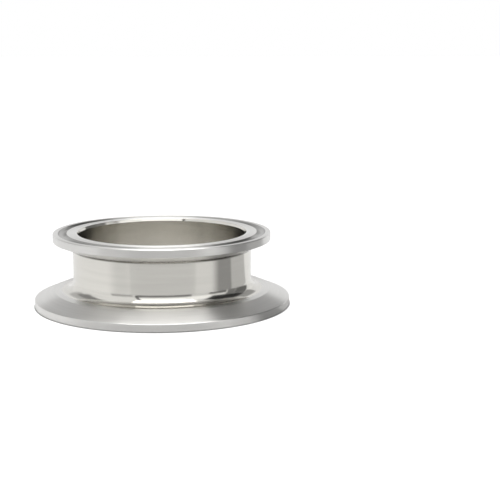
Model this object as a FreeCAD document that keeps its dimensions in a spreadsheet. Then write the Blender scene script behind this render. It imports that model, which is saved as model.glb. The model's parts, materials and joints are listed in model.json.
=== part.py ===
import FreeCAD, Part
import math
import os

import Sketcher
from FreeCAD import Vector

# Sanitary reducing end cap, turned from one piece of stainless steel.
# A short straight neck joins a large clamp flange at its foot to a smaller clamp flange at its top,
# with a straight bore right through. The backs of both flanges slope at the clamp's angle, and each
# sealing face has a round-bottomed gasket groove.
# Frame: the origin is the centre of the large sealing face, and +Z runs up the bore axis.
# Lengths are in millimetres.

NODE = "reducing_end_cap"

# Radial sizes build outwards from the tube that the neck continues.
SIZES = [
    ("tube_diameter", 63.5, "outside of the neck, as the 2.5 inch tube that it continues"),
    ("wall_thickness", 2.0, "wall of the neck, which leaves a bore 59.5 across"),
    ("small_flange_reach", 6.95, "small flange beyond the neck, which makes it 77.4 across"),
    ("large_flange_step", 6.75, "large flange beyond the small one, which makes it 90.9 across"),
    ("overall_height", 26.0, "from one sealing face to the other"),
    ("rim_thickness", 2.75, "both flanges at the rim"),
    ("back_angle", 22.25, "slope of both flange backs, in degrees"),
    ("shoulder_width", 6.8, "shoulder round the foot of the neck, out to its edge"),
    ("shoulder_fall", 3.0, "slope of the shoulder, down towards its edge, in degrees"),
    ("root_radius", 4.0, "from the shoulder up into the neck"),
    ("corner_radius", 0.8, "from the neck out into the back of the small flange"),
    ("edge_radius", 0.3, "rounding of the rim edges"),
    ("lead_width", 0.35, "lead-in at the bore mouths, measured on the face"),
    ("lead_depth", 0.9, "lead-in at the bore mouths, measured down the bore"),
    ("small_groove_inset", 3.4, "rim to groove centre on the small face, a groove 70.6 across"),
    ("large_groove_inset", 3.75, "rim to groove centre on the large face, a groove 83.4 across"),
    ("groove_width", 3.0, "gasket groove at the face"),
    ("groove_depth", 1.2, "gasket groove at its deepest"),
]

# Sketch geometry: the points of a line or circle, and the sketch's own origin and axis.
START, END, CENTRE = 1, 2, 3
SKETCH_ORIGIN = (-1, 1)
SKETCH_ACROSS = -1
FULL_TURN = 360.0

doc = FreeCAD.newDocument("ReducingEndCap")

sheet = doc.addObject("Spreadsheet::Sheet", "Sizes")
for row, (alias, value, meaning) in enumerate(SIZES, start=1):
    sheet.set(f"A{row}", alias)
    sheet.set(f"B{row}", str(value))
    sheet.set(f"C{row}", meaning)
    sheet.setAlias(f"B{row}", alias)
doc.recompute()

# Radii that several features share, as expressions on the sheet.
NECK_RADIUS = "Sizes.tube_diameter / 2"
BORE_RADIUS = f"{NECK_RADIUS} - Sizes.wall_thickness"
MOUTH_RADIUS = f"{BORE_RADIUS} + Sizes.lead_width"
SHOULDER_RADIUS = f"{NECK_RADIUS} + Sizes.shoulder_width"
SMALL_RADIUS = f"{NECK_RADIUS} + Sizes.small_flange_reach"
LARGE_RADIUS = f"{SMALL_RADIUS} + Sizes.large_flange_step"
GROOVE_ROUND = "((Sizes.groove_width / 2) ^ 2 + Sizes.groove_depth ^ 2) / (2 * Sizes.groove_depth)"

# The same places as numbers, to draw each sketch at its solution.
neck_radius = sheet.tube_diameter / 2
bore_radius = neck_radius - sheet.wall_thickness
mouth_radius = bore_radius + sheet.lead_width
shoulder_radius = neck_radius + sheet.shoulder_width
small_radius = neck_radius + sheet.small_flange_reach
large_radius = small_radius + sheet.large_flange_step
slope = math.tan(math.radians(sheet.back_angle))
shoulder_height = sheet.rim_thickness + (large_radius - shoulder_radius) * slope
neck_foot_height = shoulder_height + sheet.shoulder_width * math.tan(math.radians(sheet.shoulder_fall))
small_back_height = sheet.overall_height - sheet.rim_thickness
neck_top_height = small_back_height - sheet.small_flange_reach * slope
small_mouth_height = sheet.overall_height - sheet.lead_depth
groove_round = ((sheet.groove_width / 2) ** 2 + sheet.groove_depth**2) / (2 * sheet.groove_depth)

body = doc.addObject("PartDesign::Body", NODE)
body.Label = NODE
body.Placement = FreeCAD.Placement()


def section_sketch(name):
    """An empty sketch on the body's XZ plane: across is the radius and up is the height."""
    plane = next(f for f in body.Origin.OriginFeatures if f.Role == "XZ_Plane")
    sketch = body.newObject("Sketcher::SketchObject", name)
    sketch.AttachmentSupport = [(plane, "")]
    sketch.MapMode = "FlatFace"
    return sketch


def bind(sketch, name, expression, *constraint):
    """Adds a driving constraint and ties it to the sheet."""
    index = sketch.addConstraint(Sketcher.Constraint(*constraint))
    sketch.renameConstraint(index, name)
    sketch.setExpression(f"Constraints.{name}", expression)


def turn(kind, name, sketch):
    """Turns a finished sketch right round the bore axis, to add metal or to cut it away."""
    if not sketch.FullyConstrained:
        raise RuntimeError(f"{sketch.Name} is not fully constrained")
    feature = body.newObject(kind, name)
    feature.Profile = sketch
    feature.ReferenceAxis = (sketch, ["V_Axis"])
    feature.Angle = FULL_TURN
    sketch.Visibility = False
    body.Tip = feature
    doc.recompute()


# The turned blank: one closed section, drawn round from the foot of the bore. Each side is named for
# the surface that it turns into, and given with the point where it starts. Both bore mouths open with
# a steep lead-in, deeper down the bore than it is wide on the face.
corners = [
    ("large_mouth", bore_radius, sheet.lead_depth),
    ("large_face", mouth_radius, 0.0),
    ("large_rim", large_radius, 0.0),
    ("large_back", large_radius, sheet.rim_thickness),
    ("shoulder", shoulder_radius, shoulder_height),
    ("neck", neck_radius, neck_foot_height),
    ("small_back", neck_radius, neck_top_height),
    ("small_rim", small_radius, small_back_height),
    ("small_face", small_radius, sheet.overall_height),
    ("small_mouth", mouth_radius, sheet.overall_height),
    ("bore", bore_radius, small_mouth_height),
]
section = section_sketch("BlankSection")
side = {}
for (name, across, up), (_, next_across, next_up) in zip(corners, corners[1:] + corners[:1]):
    start, end = Vector(across, up, 0), Vector(next_across, next_up, 0)
    side[name] = section.addGeometry(Part.LineSegment(start, end))
names = list(side)
for name, following in zip(names, names[1:] + names[:1]):
    section.addConstraint(Sketcher.Constraint("Coincident", side[name], END, side[following], START))
for name in ("large_face", "small_face"):
    section.addConstraint(Sketcher.Constraint("Horizontal", side[name]))
for name in ("large_rim", "neck", "small_rim", "bore"):
    section.addConstraint(Sketcher.Constraint("Vertical", side[name]))
foot = ("PointOnObject", side["large_face"], START, SKETCH_ACROSS)
section.addConstraint(Sketcher.Constraint(*foot))
for name, radius, expression in (
    ("large_face", mouth_radius, MOUTH_RADIUS),
    ("large_rim", large_radius, LARGE_RADIUS),
    ("shoulder", shoulder_radius, SHOULDER_RADIUS),
    ("neck", neck_radius, NECK_RADIUS),
    ("small_rim", small_radius, SMALL_RADIUS),
    ("small_mouth", mouth_radius, MOUTH_RADIUS),
    ("bore", bore_radius, BORE_RADIUS),
):
    start = (*SKETCH_ORIGIN, side[name], START)
    bind(section, f"{name}_radius", expression, "DistanceX", *start, radius)
for name, height, expression in (
    ("large_mouth", sheet.lead_depth, "Sizes.lead_depth"),
    ("small_face", sheet.overall_height, "Sizes.overall_height"),
    ("bore", small_mouth_height, "Sizes.overall_height - Sizes.lead_depth"),
):
    start = (*SKETCH_ORIGIN, side[name], START)
    bind(section, f"{name}_height", expression, "DistanceY", *start, height)
for name in ("large_rim", "small_rim"):
    ends = (side[name], START, side[name], END)
    bind(section, f"{name}_thickness", "Sizes.rim_thickness", "DistanceY", *ends, sheet.rim_thickness)
rise = math.radians(sheet.back_angle)
fall = math.radians(sheet.shoulder_fall)
for name, angle, expression in (
    ("large_back", math.pi - rise, "180 deg - Sizes.back_angle * 1 deg"),
    ("shoulder", math.pi - fall, "180 deg - Sizes.shoulder_fall * 1 deg"),
    ("small_back", rise, "Sizes.back_angle * 1 deg"),
):
    bind(section, f"{name}_slope", expression, "Angle", side[name], angle)

# The inside corners keep the radii of the turning tool, and the rims are eased by hand polishing. Each
# rounding adds an arc and then a point that marks the sharp corner, which the other sizes hold on to.
for name, alias in (
    ("large_face", "edge_radius"),
    ("large_rim", "edge_radius"),
    ("shoulder", "root_radius"),
    ("neck", "corner_radius"),
    ("small_back", "edge_radius"),
    ("small_rim", "edge_radius"),
):
    radius = getattr(sheet, alias)
    arc = section.GeometryCount
    section.fillet(side[name], END, radius, True, True)
    bind(section, f"{name}_rounding", f"Sizes.{alias}", "Radius", arc, radius)
doc.recompute()
turn("PartDesign::Revolution", "Blank", section)


def cut_groove(name, rim_radius, rim_expression, inset, face_height, face_expression, metal):
    """Turns a gasket groove into a sealing face.

    metal is +1 where the metal lies above the face and -1 where it lies below. The groove is part of
    a circle whose centre is off the face, so that it meets both its width and its depth.
    """
    across = rim_radius - getattr(sheet, inset)
    up = face_height + metal * (sheet.groove_depth - groove_round)
    up_expression = f"{face_expression} + ({metal}) * (Sizes.groove_depth - {GROOVE_ROUND})"
    sketch = section_sketch(f"{name}Section")
    ring = sketch.addGeometry(Part.Circle(Vector(across, up, 0), Vector(0, 0, 1), groove_round))
    centre = (*SKETCH_ORIGIN, ring, CENTRE)
    bind(sketch, "groove_round", GROOVE_ROUND, "Radius", ring, groove_round)
    bind(sketch, "groove_across", f"{rim_expression} - Sizes.{inset}", "DistanceX", *centre, across)
    bind(sketch, "groove_up", up_expression, "DistanceY", *centre, up)
    doc.recompute()
    uncut = body.Shape.Volume
    turn("PartDesign::Groove", name, sketch)
    if body.Shape.Volume >= uncut:
        raise RuntimeError(f"{name} cut nothing")


cut_groove("LargeGroove", large_radius, LARGE_RADIUS, "large_groove_inset", 0.0, "0", 1)
cut_groove(
    "SmallGroove",
    small_radius,
    SMALL_RADIUS,
    "small_groove_inset",
    sheet.overall_height,
    "Sizes.overall_height",
    -1,
)

# Nothing is written unless every object is sound.
for obj in doc.Objects:
    if {"Invalid", "Error"} & set(obj.State):
        raise RuntimeError(f"{obj.Name} failed: {obj.State}")
shape = body.Shape
if shape.isNull() or not shape.isValid() or len(shape.Solids) != 1:
    raise RuntimeError(f"{NODE} is not one valid solid")

os.makedirs("parts", exist_ok=True)
shape.exportStep(f"parts/{NODE}.step")
box = shape.optimalBoundingBox(False)
print(f"{NODE}: {box.XLength:.2f} x {box.YLength:.2f} x {box.ZLength:.2f} mm")
print(f"volume {shape.Volume:.0f} cubic mm, {len(shape.Faces)} faces")
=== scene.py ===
# %% [markdown]
# # A sanitary reducing end cap, dressed in Blender
#
# The real object is one piece of stainless steel, turned on a lathe. A short neck joins a large clamp flange
# at its foot to a smaller one at its top, and a straight bore runs right through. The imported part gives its
# true size and place. What Blender adds is the finish: smooth roundings, lathe marks, and a studio whose
# soft lights make polished steel readable. All lengths are in metres.

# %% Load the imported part
import json
import math

import bmesh
import bpy
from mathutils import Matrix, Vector


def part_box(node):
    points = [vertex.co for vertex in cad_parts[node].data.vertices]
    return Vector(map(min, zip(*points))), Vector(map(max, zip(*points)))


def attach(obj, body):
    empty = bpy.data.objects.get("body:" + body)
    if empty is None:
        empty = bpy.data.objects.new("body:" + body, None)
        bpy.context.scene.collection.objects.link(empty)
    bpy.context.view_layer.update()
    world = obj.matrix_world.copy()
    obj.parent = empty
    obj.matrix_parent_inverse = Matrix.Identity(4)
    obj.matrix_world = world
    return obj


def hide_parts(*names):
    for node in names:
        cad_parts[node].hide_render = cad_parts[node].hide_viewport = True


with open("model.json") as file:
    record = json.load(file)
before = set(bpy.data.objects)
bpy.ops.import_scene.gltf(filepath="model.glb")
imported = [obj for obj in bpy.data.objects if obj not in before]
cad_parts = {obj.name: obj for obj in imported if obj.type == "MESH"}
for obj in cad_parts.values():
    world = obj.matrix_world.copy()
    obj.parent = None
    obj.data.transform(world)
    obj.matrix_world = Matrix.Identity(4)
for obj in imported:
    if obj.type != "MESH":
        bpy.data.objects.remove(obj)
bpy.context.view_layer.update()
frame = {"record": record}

MM = 0.001
NODE = "reducing_end_cap"

# %% [markdown]
# ## The section
#
# Everything on this part is round about one axis, so its whole shape is one section: half of the outline that
# a drawing would show cut through the middle. It could also be built from stacked cylinders and cones, but
# each joint between them would need work. A lathe hand thinks in sections too, so the section it is: a few
# corners, each with its own rounding, later turned once round the axis.

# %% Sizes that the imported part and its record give
low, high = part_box(NODE)
mounts = {mount["name"]: mount for mount in frame["record"]["mounts"]}
foot = low.z
top = high.z
bore_radius = mounts["bore"]["dims"]["r_mm"] * MM
small_radius = mounts["small_rim"]["dims"]["r_mm"] * MM
large_radius = mounts["large_rim"]["dims"]["r_mm"] * MM
print(f"height {(top - foot) / MM:.2f} mm")
print(f"flanges {2 * large_radius / MM:.1f} and {2 * small_radius / MM:.1f} mm across")

# %% The rest of the section's sizes
wall = 2.0 * MM
shoulder_width = 6.8 * MM
shoulder_fall = math.radians(3.0)
rim_thickness = 2.75 * MM
back_angle = math.radians(22.25)
lead_width = 0.35 * MM
lead_depth = 0.9 * MM
groove_half_width = 1.5 * MM
groove_depth = 1.2 * MM
small_groove_inset = 3.4 * MM
large_groove_inset = 3.75 * MM

neck_radius = bore_radius + wall
shoulder_radius = neck_radius + shoulder_width
small_groove_radius = small_radius - small_groove_inset
large_groove_radius = large_radius - large_groove_inset
slope = math.tan(back_angle)
shoulder_height = foot + rim_thickness + (large_radius - shoulder_radius) * slope
neck_foot = shoulder_height + shoulder_width * math.tan(shoulder_fall)
small_back_height = top - rim_thickness
neck_top = small_back_height - (small_radius - neck_radius) * slope
print(f"neck from {neck_foot / MM:.2f} to {neck_top / MM:.2f} mm up, {2 * neck_radius / MM:.1f} mm across")

# %% [markdown]
# ## Corners and their roundings
#
# Each corner of the section has a radius. The inside corners have the radius of the turning tool, and the
# rims are eased by hand. No real edge is perfectly sharp: even a cut edge has a break of about a tenth of a
# millimetre, and that break is what catches the light as a thin bright line. A Bevel modifier could round the
# finished part, but with one width for all edges. Here each corner of the section gets a radius of its own.

# %% Corners, from the foot of the bore round and back
EASED = 0.3 * MM
BREAK = 0.1 * MM
ROOT = 4.0 * MM
CORNER = 0.8 * MM

large_groove_in = large_groove_radius - groove_half_width
large_groove_out = large_groove_radius + groove_half_width
small_groove_in = small_groove_radius - groove_half_width
small_groove_out = small_groove_radius + groove_half_width
corners = [
    ("large_lead_in", bore_radius, foot + lead_depth, BREAK),
    ("large_mouth", bore_radius + lead_width, foot, BREAK),
    ("large_groove_in", large_groove_in, foot, BREAK),
    ("large_groove_out", large_groove_out, foot, BREAK),
    ("large_rim_foot", large_radius, foot, EASED),
    ("large_rim_top", large_radius, foot + rim_thickness, EASED),
    ("shoulder_edge", shoulder_radius, shoulder_height, BREAK),
    ("root", neck_radius, neck_foot, ROOT),
    ("neck_corner", neck_radius, neck_top, CORNER),
    ("small_rim_foot", small_radius, small_back_height, EASED),
    ("small_rim_top", small_radius, top, EASED),
    ("small_groove_out", small_groove_out, top, BREAK),
    ("small_groove_in", small_groove_in, top, BREAK),
    ("small_mouth", bore_radius + lead_width, top, BREAK),
    ("small_lead_in", bore_radius, top - lead_depth, BREAK),
]
print(len(corners), "corners in the section")

# %% Draw the corners as points joined by straight lines, left open at the two grooves
section = bmesh.new()
point = {name: section.verts.new((radius, 0.0, height)) for name, radius, height, _ in corners}
order = list(point)
for here, following in zip(order, order[1:] + order[:1]):
    if not ("groove" in here and "groove" in following):
        section.edges.new((point[here], point[following]))
print(len(section.edges), "straight lines")

# %% [markdown]
# ## Gasket grooves
#
# The gasket's bead sits in a round-bottomed groove. It could be cut with a Boolean and a ring, but that
# leaves long thin faces along its edges. Its width and depth are given, so its circle's centre lies a little
# off the face, and spinning one point of the section about that centre draws the arc.

# %% Spin one point across each groove
GROOVE_STEPS = 24
groove_round = (groove_half_width**2 + groove_depth**2) / (2 * groove_depth)
groove_arc = 2 * math.asin(groove_half_width / groove_round)
for start, finish, across, face, into_metal in (
    ("large_groove_in", "large_groove_out", large_groove_radius, foot, 1.0),
    ("small_groove_out", "small_groove_in", small_groove_radius, top, -1.0),
):
    arc = bmesh.ops.spin(
        section,
        geom=[point[start]],
        cent=(across, 0.0, face + into_metal * (groove_depth - groove_round)),
        axis=(0.0, 1.0, 0.0),
        angle=groove_arc,
        steps=GROOVE_STEPS,
    )
    bmesh.ops.weld_verts(section, targetmap={arc["geom_last"][0]: point[finish]})
print(f"groove radius {groove_round / MM:.3f} mm, arc {math.degrees(groove_arc):.1f} degrees")
closed = all(len(point.link_edges) == 2 for point in section.verts)
print(len(section.verts), "points, all on two lines each:", closed)

# %% Round the corners
ROUND_STEPS = {"root": 20, "neck_corner": 8}
EASED_STEPS = 6
BREAK_STEPS = 3


def round_corner(name, radius):
    """Rounds one corner of the section. How far to cut along each line follows from the line's turn."""
    corner = point[name]
    to_one, to_other = (line.other_vert(corner).co - corner.co for line in corner.link_edges)
    turn = math.pi - to_one.angle(to_other)
    steps = ROUND_STEPS.get(name, EASED_STEPS if radius > BREAK else BREAK_STEPS)
    bmesh.ops.bevel(
        section,
        geom=[corner],
        offset=radius * math.tan(turn / 2),
        offset_type="OFFSET",
        affect="VERTICES",
        segments=steps,
        profile=0.5,
        material=-1,
    )
    return math.degrees(turn)


for name, _, _, radius in corners:
    print(f"{name}: turns {round_corner(name, radius):.0f} degrees on a radius of {radius / MM:.1f} mm")

# %% [markdown]
# ## Holding points
#
# Smooth shading blends the surface direction from one row of points to the next. On a long flat beside a
# tight rounding, that blend would run right across the flat and bend its reflections. Sharp edges would stop
# it, but they show as creases. A holding point close to each end of a long line keeps the blend where it
# belongs.

# %% Add a holding point near both ends of each long line
HOLD = 0.04 * MM
LONG = 0.3 * MM
for line in [edge for edge in section.edges if edge.calc_length() > LONG]:
    for end in list(line.verts):
        bmesh.utils.edge_split(line, end, HOLD / line.calc_length())
print(len(section.verts), "points in the section")

# %% [markdown]
# ## Turn it
#
# The lathe step itself: spin the section once round the bore's axis. `use_merge` joins the last copy to the
# first, so there is no seam. A spin can leave faces pointing inwards, so their normals are worked out afresh.

# %% Spin the section round the axis
TURN_STEPS = 480
MERGE = 0.0005 * MM
bmesh.ops.spin(
    section,
    geom=section.verts[:] + section.edges[:],
    cent=(0.0, 0.0, 0.0),
    axis=(0.0, 0.0, 1.0),
    angle=math.tau,
    steps=TURN_STEPS,
    use_merge=True,
)
bmesh.ops.remove_doubles(section, verts=section.verts, dist=MERGE)
bmesh.ops.recalc_face_normals(section, faces=section.faces)
for face in section.faces:
    face.smooth = True
print(f"{len(section.faces)} faces, volume {section.calc_volume(signed=True) / MM**3:.0f} cubic mm")
print("open edges:", sum(not edge.is_manifold for edge in section.edges))

# %% Put the mesh in the scene
mesh = bpy.data.meshes.new("turned_cap")
section.to_mesh(mesh)
section.free()
cap = bpy.data.objects.new("turned_cap", mesh)
bpy.context.scene.collection.objects.link(cap)
print(cap.name, "is at", list(cap.location))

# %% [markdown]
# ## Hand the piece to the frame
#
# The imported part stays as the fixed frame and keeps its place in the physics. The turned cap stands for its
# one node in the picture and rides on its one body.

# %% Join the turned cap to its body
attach(cap, "root")
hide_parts(NODE)
print(cap.name, "stands for", NODE)

# %% [markdown]
# ## Steel with tool marks
#
# Turned stainless steel isn't a mirror. The tool leaves fine rings round the axis, and polishing only softens
# them. A reflection then stays crisp round the part, but smears along its profile. Painted streaks would show
# from one side only, so the finish is built from the rings themselves. A noise that changes quickly with
# radius and height, and slowly round the axis, lies like tool marks on every surface, with no seam and no UV
# map.

# %% Where a point lies on a turned part: its radius, its height and its direction from the axis
steel = bpy.data.materials.new("turned_steel")
steel.use_nodes = True
tree = steel.node_tree


def maths(tree, operation, *values):
    """Adds one maths node. Each value is a number or another node's output."""
    node = tree.nodes.new("ShaderNodeMath")
    node.operation = operation
    for socket, value in zip(node.inputs, values):
        if isinstance(value, bpy.types.NodeSocket):
            tree.links.new(value, socket)
        else:
            socket.default_value = value
    return node.outputs[0]


def fade(tree, value, start, finish, low=0.0, high=1.0):
    """A soft step, from low where the value is at start to high where it is at finish."""
    step = tree.nodes.new("ShaderNodeMapRange")
    step.interpolation_type = "SMOOTHSTEP"
    step.inputs["From Min"].default_value = start
    step.inputs["From Max"].default_value = finish
    step.inputs["To Min"].default_value = low
    step.inputs["To Max"].default_value = high
    tree.links.new(value, step.inputs["Value"])
    return step.outputs["Result"]


position = tree.nodes.new("ShaderNodeTexCoord").outputs["Object"]
split = tree.nodes.new("ShaderNodeSeparateXYZ")
tree.links.new(position, split.inputs[0])
x, y, z = split.outputs
radius = maths(tree, "SQRT", maths(tree, "MULTIPLY_ADD", x, x, maths(tree, "MULTIPLY", y, y)))
right, away = maths(tree, "DIVIDE", x, radius), maths(tree, "DIVIDE", y, radius)
print(len(tree.nodes), "nodes give the radius, the height and the direction")


# %% A noise in rings
def ring_noise(spacing, drift, detail):
    """Rings about that far apart. The larger the drift, the more often they change round the axis."""
    where = tree.nodes.new("ShaderNodeCombineXYZ")
    tree.links.new(maths(tree, "DIVIDE", radius, spacing), where.inputs["X"])
    tree.links.new(maths(tree, "DIVIDE", z, spacing), where.inputs["Y"])
    tree.links.new(maths(tree, "MULTIPLY", right, drift), where.inputs["Z"])
    noise = tree.nodes.new("ShaderNodeTexNoise")
    noise.noise_dimensions = "4D"
    noise.inputs["Scale"].default_value = 1.0
    noise.inputs["Detail"].default_value = detail
    tree.links.new(where.outputs[0], noise.inputs["Vector"])
    tree.links.new(maths(tree, "MULTIPLY", away, drift), noise.inputs["W"])
    return noise.outputs["Fac"]


TOOL_MARKS = 0.12 * MM
POLISH_BANDS = 0.8 * MM
marks = ring_noise(TOOL_MARKS, drift=2.0, detail=2.0)
bands = ring_noise(POLISH_BANDS, drift=1.5, detail=2.0)
print("tool marks", TOOL_MARKS / MM, "mm apart, polish bands", POLISH_BANDS / MM, "mm apart")

# %% [markdown]
# ## Polished and turned surfaces
#
# A fitter sees two finishes. The bore, the neck and the root below it are polished, so that nothing clings
# to them. The flange backs, the rims and the sealing faces keep a turned finish. Each could be a material of
# its own, but then the change would be a hard line. One soft mask tells them apart by radius and height
# instead, as gradually as a polishing wheel leaves it. The gasket grooves and the corner under the small
# flange have masks too: there the colour is darkened as painted shade, where these hollows lie in shadow.

# %% Turned outside the root and from the small flange's back upwards, but never in the bore
TURNED_FROM = shoulder_radius - 2.4 * MM
SOFT = 0.8 * MM
beside = fade(tree, radius, TURNED_FROM - SOFT, TURNED_FROM)
above = fade(tree, z, neck_top, neck_top + SOFT)
outside = fade(tree, radius, bore_radius + lead_width, bore_radius + 2 * lead_width)
turned = maths(tree, "MULTIPLY", maths(tree, "MAXIMUM", beside, above), outside)
print("turned beyond", round(TURNED_FROM / MM, 2), "mm from the axis")

# %% The grooves are found by their distance from the centres of their round sections
GROOVE_EDGE = 0.04 * MM


def in_groove(across, up):
    """1 on the wall of the groove whose round section has this centre, 0 elsewhere."""
    dr, dz = maths(tree, "SUBTRACT", radius, across), maths(tree, "SUBTRACT", z, up)
    distance = maths(tree, "SQRT", maths(tree, "MULTIPLY_ADD", dr, dr, maths(tree, "MULTIPLY", dz, dz)))
    return fade(tree, distance, groove_round + 2 * GROOVE_EDGE, groove_round + GROOVE_EDGE)


# The groove mask carries painted shade: the colour is darkened on the groove walls.
small_groove = in_groove(small_groove_radius, top - groove_depth + groove_round)
large_groove = in_groove(large_groove_radius, foot + groove_depth - groove_round)
groove = maths(tree, "MAXIMUM", small_groove, large_groove)
print("grooves at", round(small_groove_radius / MM, 2), "and", round(large_groove_radius / MM, 2), "mm")

# %% Painted shade in the corner under the small flange, darkest at the neck and fading out along the flange's back
CORNER_REACH = 5.0 * MM
CORNER_EDGE = 0.3 * MM
corner = fade(tree, radius, neck_radius + CORNER_REACH, neck_radius - CORNER_EDGE)
off_bore = fade(tree, radius, neck_radius - 3 * CORNER_EDGE, neck_radius - 2 * CORNER_EDGE)
off_neck = fade(tree, z, neck_top - 2 * CORNER_EDGE, neck_top - CORNER_EDGE)
off_face = fade(tree, z, small_back_height, small_back_height - CORNER_EDGE)
for limit in (off_bore, off_neck, off_face):
    corner = maths(tree, "MULTIPLY", corner, limit)
print("corner dull out to", round((neck_radius + CORNER_REACH) / MM, 2), "mm")

# %% [markdown]
# ## From masks to metal
#
# Steel is a metal in Blender's sense: its colour is the colour of what it reflects, a little warm. Polished
# steel is warmer than turned steel, whose fine grooves scatter more. The colour could be one flat value, but
# a real polish is cloudy, and the gasket grooves and the corner under the small flange are darkened as painted
# shade. So the masks and the rings drive colour and roughness, the rings give a little relief, and an
# anisotropic highlight smears it all along the profile.

# %% Colour
POLISHED_STEEL = (0.770, 0.753, 0.706, 1.0)
TURNED_STEEL = (0.760, 0.752, 0.732, 1.0)
CLOUDY = 0.16
# The next two factors are painted shade: they darken the colour in the gasket grooves and in the corner under
# the small flange.
GROOVE_PAINTED_SHADE = 0.60
CORNER_PAINTED_SHADE = 0.40

tint = tree.nodes.new("ShaderNodeValToRGB")
tint.color_ramp.elements[0].color = POLISHED_STEEL
tint.color_ramp.elements[1].color = TURNED_STEEL
tree.links.new(turned, tint.inputs["Fac"])
brightness = maths(tree, "MULTIPLY_ADD", bands, CLOUDY, 1.0 - CLOUDY / 2)
# Painted shade: the groove and corner masks darken the colour in those hollows.
for place, painted_shade in ((groove, GROOVE_PAINTED_SHADE), (corner, CORNER_PAINTED_SHADE)):
    brightness = maths(tree, "MULTIPLY", brightness, maths(tree, "MULTIPLY_ADD", place, painted_shade - 1.0, 1.0))
shade = tree.nodes.new("ShaderNodeVectorMath")
shade.operation = "SCALE"
tree.links.new(tint.outputs["Color"], shade.inputs["Vector"])
tree.links.new(brightness, shade.inputs["Scale"])
shader = tree.nodes["Principled BSDF"]
shader.inputs["Metallic"].default_value = 1.0
tree.links.new(shade.outputs["Vector"], shader.inputs["Base Color"])
print("polished", POLISHED_STEEL[:3], "turned", TURNED_STEEL[:3])

# %% Roughness, uneven with the tool marks
POLISHED = 0.13
TURNED = 0.30
UNEVEN = 0.08
even = maths(tree, "MULTIPLY_ADD", turned, TURNED - POLISHED, POLISHED - UNEVEN / 2)
tree.links.new(maths(tree, "MULTIPLY_ADD", marks, UNEVEN, even), shader.inputs["Roughness"])
print("roughness", POLISHED, "polished and", TURNED, "turned")

# %% Relief of the tool marks
RELIEF = 0.0005 * MM
relief = tree.nodes.new("ShaderNodeBump")
relief.inputs["Distance"].default_value = RELIEF
tree.links.new(marks, relief.inputs["Height"])
tree.links.new(relief.outputs["Normal"], shader.inputs["Normal"])
print("marks", RELIEF / MM, "mm deep")

# %% Smear along the profile: the tangent runs round the axis, and a quarter turn crosses it
SMEAR = 0.88
QUARTER_TURN = 0.25
round_axis = tree.nodes.new("ShaderNodeTangent")
round_axis.direction_type = "RADIAL"
round_axis.axis = "Z"
tree.links.new(round_axis.outputs["Tangent"], shader.inputs["Tangent"])
shader.inputs["Anisotropic"].default_value = SMEAR
shader.inputs["Anisotropic Rotation"].default_value = QUARTER_TURN
cap.data.materials.append(steel)
print(steel.name, "has", len(tree.nodes), "nodes")

# %% [markdown]
# ## Floor
#
# The cap stands on a plain white sweep, lit so brightly that it burns out to paper white. What the steel
# mirrors isn't so bright everywhere: the neck shows upright bands, grey in front and darkest on the right.
# Lamps could light the floor unevenly, but such bands are easier to place as greys in the floor itself, in
# sectors that spread from one point. The camera doesn't see them: for its rays alone the floor is even and
# has a little light of its own, which does the burning out.

# %% Headings in degrees: 0 is the camera's side, and 90 is the right
HALF_TURN = 180.0


def headings(tree, x, y):
    """The heading of the point or direction with these parts."""
    return maths(tree, "DEGREES", maths(tree, "ARCTAN2", x, maths(tree, "MULTIPLY", y, -1.0)))


def inside(tree, value, half, edge):
    """1 within half of zero, 0 beyond it, with a soft edge."""
    return fade(tree, maths(tree, "ABSOLUTE", value), half + edge / 2, half - edge / 2)


def sector(tree, heading, centre, width, edge):
    """1 within a sector of headings, 0 outside it."""
    off_centre = maths(tree, "WRAP", maths(tree, "SUBTRACT", heading, centre), HALF_TURN, -HALF_TURN)
    return inside(tree, off_centre, width / 2, edge)


# %% A flat floor under the foot of the cap, with most of it behind
FLOOR_SIDE = 6.0
FLOOR_FRONT = -0.62
ground = bmesh.new()
bmesh.ops.create_grid(ground, x_segments=1, y_segments=1, size=FLOOR_SIDE / 2)
bmesh.ops.translate(ground, verts=ground.verts, vec=(0.0, FLOOR_FRONT + FLOOR_SIDE / 2, foot))
floor_mesh = bpy.data.meshes.new("floor")
ground.to_mesh(floor_mesh)
ground.free()
floor = bpy.data.objects.new("floor", floor_mesh)
bpy.context.scene.collection.objects.link(floor)
print("floor", FLOOR_SIDE, "m wide, from", FLOOR_FRONT, "m")

# %% Where a point of the floor lies, counted from a little in front of the axis
GREYS_FROM = 0.021
sweep = bpy.data.materials.new("white_sweep")
sweep.use_nodes = True
tree = sweep.node_tree
position = tree.nodes.new("ShaderNodeTexCoord").outputs["Object"]
split = tree.nodes.new("ShaderNodeSeparateXYZ")
tree.links.new(position, split.inputs[0])
heading = headings(tree, split.outputs["X"], maths(tree, "ADD", split.outputs["Y"], GREYS_FROM))
from_axis = tree.nodes.new("ShaderNodeVectorMath")
from_axis.operation = "LENGTH"
tree.links.new(position, from_axis.inputs[0])
distance = from_axis.outputs["Value"]
print("headings start", GREYS_FROM / MM, "mm in front of the axis")

# %% Greys in sectors, each laid over those before it
FLOOR_WHITE = 0.68
greys = [
    # name, heading, width, its edge, grey
    ("left_front", -55, 26, 18, 0.56),
    ("right_front", 57, 30, 4, 0.60),
    ("front", 0, 87, 5, 0.515),
    ("right", 86, 30, 14, 0.24),
    ("right_back", 110, 28, 3, 0.42),
]
grey = FLOOR_WHITE
for name, centre, width, edge, value in greys:
    part = sector(tree, heading, centre, width, edge)
    grey = maths(tree, "MULTIPLY_ADD", part, maths(tree, "SUBTRACT", value, grey), grey)
    print(f"{name}: heading {centre}, {width} degrees wide, grey {value}")

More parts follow.
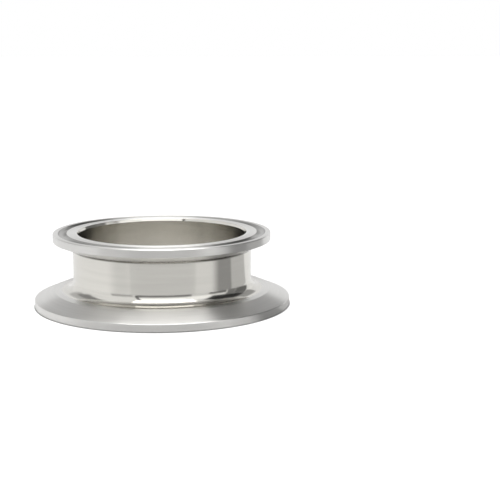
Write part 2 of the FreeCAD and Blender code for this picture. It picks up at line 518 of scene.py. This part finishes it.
# %% Painted light: a little lighter close to the axis, where the bore and the large rim mirror it, standing in for the light that the steel throws down round its foot
PAINTED_GLOW = 1.05
GLOW_FROM = 0.052
GLOW_TO = 0.070
grey = maths(tree, "MULTIPLY", grey, fade(tree, distance, GLOW_FROM, GLOW_TO, PAINTED_GLOW, 1.0))
print("lighter by", round(100 * (PAINTED_GLOW - 1)), "percent out to", GLOW_FROM / MM, "mm")

# %% Painted shadow: a thin dark ring where the foot meets the floor
CONTACT_SHADOW_GREY = 0.40
CONTACT_HALF = 0.0003
from_foot = maths(tree, "SUBTRACT", distance, large_radius)
contact_shadow = maths(tree, "MULTIPLY_ADD", inside(tree, from_foot, CONTACT_HALF, CONTACT_HALF), CONTACT_SHADOW_GREY - 1.0, 1.0)
print("contact ring", 2 * CONTACT_HALF / MM, "mm wide")

# %% Even white for the camera, greys for the steel
BURN_OUT = 0.35
seen = tree.nodes.new("ShaderNodeLightPath").outputs["Is Camera Ray"]
whitened = maths(tree, "MULTIPLY_ADD", seen, maths(tree, "SUBTRACT", FLOOR_WHITE, grey), grey)
burnt = maths(tree, "MULTIPLY", seen, maths(tree, "MULTIPLY", contact_shadow, BURN_OUT))
shader = tree.nodes["Principled BSDF"]
# The painted contact shadow darkens both the floor's colour and its light for the camera.
tree.links.new(maths(tree, "MULTIPLY", whitened, contact_shadow), shader.inputs["Base Color"])
tree.links.new(burnt, shader.inputs["Emission Strength"])
shader.inputs["Emission Color"].default_value = (1.0, 1.0, 1.0, 1.0)
shader.inputs["Roughness"].default_value = 1.0
shader.inputs["Specular IOR Level"].default_value = 0.0
floor.data.materials.append(sweep)
print(sweep.name, "has", len(tree.nodes), "nodes")

# %% [markdown]
# ## Light tent
#
# Polished steel has almost no colour of its own: what it shows is the room. A photographer therefore hangs
# soft white cloth all round it, and adds a few dark cards to draw its edges. Area lamps and planes would do
# the same with more noise. Here the tent is the world itself: a dome of even light, with soft-edged panels
# laid over one another. A panel has a heading round the dome, a lowest and a highest angle above the horizon,
# and a brightness. Dark ones are cards, and bright ones are cloth with a lamp behind it.

# %% Headings and heights of the dome, in degrees
world = bpy.data.worlds.new("light_tent")
world.use_nodes = True
bpy.context.scene.world = world
tree = world.node_tree
split = tree.nodes.new("ShaderNodeSeparateXYZ")
tree.links.new(tree.nodes.new("ShaderNodeTexCoord").outputs["Generated"], split.inputs[0])
heading = headings(tree, split.outputs["X"], split.outputs["Y"])
height = maths(tree, "DEGREES", maths(tree, "ARCSINE", split.outputs["Z"]))
print(world.name, "is ready for its panels")

# %% The panels, each laid over those before it
TENT = 0.85
panels = [
    # name, heading, width, its edge, lowest, highest, its edge, brightness
    ("back_top", -128, 80, 4, 50, 74, 6, 1.00),
    ("front_top", 0, 66, 4, 50, 76, 6, 2.20),
    ("front_cloth", 0, 64, 3, 26, 50, 4, 1.30),
    ("front_hem", 0, 64, 3, 18, 26, 4, 0.80),
    ("right_front", 49, 34, 3, 18, 46, 6, 1.10),
    ("gap", -33.5, 4, 1.5, 3, 60, 4, 0.05),
    ("horizon", 2, 70, 3, -90, 18, 3, 0.20),
    ("left_low", -53, 30, 3, -90, 17, 3, 0.45),
    ("left_back", -146, 40, 10, 18, 54, 6, 0.52),
    ("left_card", -127, 34, 10, 24, 54, 6, 0.26),
    ("right_cloth", 48, 24, 3, -90, 17, 3, 0.70),
    ("right_low", 74, 28, 3, -90, 14, 3, 0.15),
    ("right_high", 111, 82, 3, 27, 54, 4, 0.03),
    ("right_top", 137, 34, 4, 50, 78, 4, 0.04),
    ("side", 98, 16, 3, -90, 27, 3, 0.20),
    ("side_back", 120, 28, 3, -90, 27, 3, 0.15),
    ("back_right", 150, 30, 3, 18, 54, 3, 0.34),
    ("back_high", 180, 30, 3, 27, 60, 3, 0.95),
    ("back_low", 180, 60, 3, -90, 18, 3, 0.80),
]
light = TENT
for name, centre, width, side_edge, lowest, highest, top_edge, value in panels:
    raised = maths(tree, "SUBTRACT", height, (lowest + highest) / 2)
    tall = inside(tree, raised, (highest - lowest) / 2, top_edge)
    panel = maths(tree, "MULTIPLY", sector(tree, heading, centre, width, side_edge), tall)
    light = maths(tree, "MULTIPLY_ADD", panel, maths(tree, "SUBTRACT", value, light), light)
    print(f"{name}: heading {centre}, {width} degrees wide, brightness {value}")

# %% [markdown]
# ## Overhead lamp
#
# A long soft lamp hangs over the cap. It is what lights the middle of the large flange's back, between two
# edges that run straight in towards the axis. On the dome such a lamp has curved sides, so it isn't a panel.
# In the plan of a ceiling its sides are straight: they spread from one point behind the cap towards the
# camera. Dividing a direction by its height gives its place in that plan, and the sector helper is used again.

# %% The lamp in the plan of a ceiling one unit above the cap
LAMP = 2.90
LAMP_POINT = 1.4
LAMP_HEADING = 1
LAMP_SPREAD = 34
LAMP_HEIGHT = 48
LAMP_EDGE = 1
LEAST_HEIGHT = 0.1
overhead = maths(tree, "MAXIMUM", split.outputs["Z"], LEAST_HEIGHT)
across = maths(tree, "DIVIDE", split.outputs["X"], overhead)
behind = maths(tree, "SUBTRACT", maths(tree, "DIVIDE", split.outputs["Y"], overhead), LAMP_POINT)
spread = sector(tree, headings(tree, across, behind), LAMP_HEADING, LAMP_SPREAD, LAMP_EDGE)
high_up = fade(tree, height, LAMP_HEIGHT - LAMP_EDGE, LAMP_HEIGHT + LAMP_EDGE)
lamp = maths(tree, "MULTIPLY", spread, high_up)
light = maths(tree, "MULTIPLY_ADD", lamp, maths(tree, "SUBTRACT", LAMP, light), light)
print("lamp", LAMP_SPREAD, "degrees wide in plan, above", LAMP_HEIGHT, "degrees, brightness", LAMP)

# %% The steel sees the tent, and the camera sees plain white behind it
tent = tree.nodes["Background"]
tree.links.new(light, tent.inputs["Strength"])
tent.inputs["Color"].default_value = (1.0, 1.0, 1.0, 1.0)
white = tree.nodes.new("ShaderNodeBackground")
white.inputs["Color"].default_value = (1.0, 1.0, 1.0, 1.0)
either = tree.nodes.new("ShaderNodeMixShader")
seen = tree.nodes.new("ShaderNodeLightPath").outputs["Is Camera Ray"]
tree.links.new(seen, either.inputs[0])
tree.links.new(tent.outputs[0], either.inputs[1])
tree.links.new(white.outputs[0], either.inputs[2])
tree.links.new(either.outputs[0], tree.nodes["World Output"].inputs["Surface"])
print(len(tree.nodes), "nodes in the world")

# %% [markdown]
# ## Camera
#
# The photograph looks down on the part by about 13 degrees from less than half a metre away, through a short
# telephoto lens. The cap sits left of the middle, so the camera is turned past it instead of aimed at it.
# Shifting the lens could frame it too, but a turned camera fits the photograph's outlines.

# %% Place the camera
CAMERA_PLACE = (0.0, -0.41681, 0.09378)
CAMERA_TURN = (79.814, -0.030, -4.312)
LENS = 84.8905
SENSOR = 36.0
NEAREST = 0.01

lens = bpy.data.cameras.new("camera")
lens.lens = LENS
lens.sensor_width = SENSOR
lens.clip_start = NEAREST
camera = bpy.data.objects.new("camera", lens)
camera.location = CAMERA_PLACE
camera.rotation_euler = [math.radians(angle) for angle in CAMERA_TURN]
bpy.context.scene.collection.objects.link(camera)
bpy.context.scene.camera = camera
bpy.context.scene.view_settings.view_transform = "Standard"
print("camera", round(Vector(CAMERA_PLACE).length / MM), "mm from the foot of the cap")
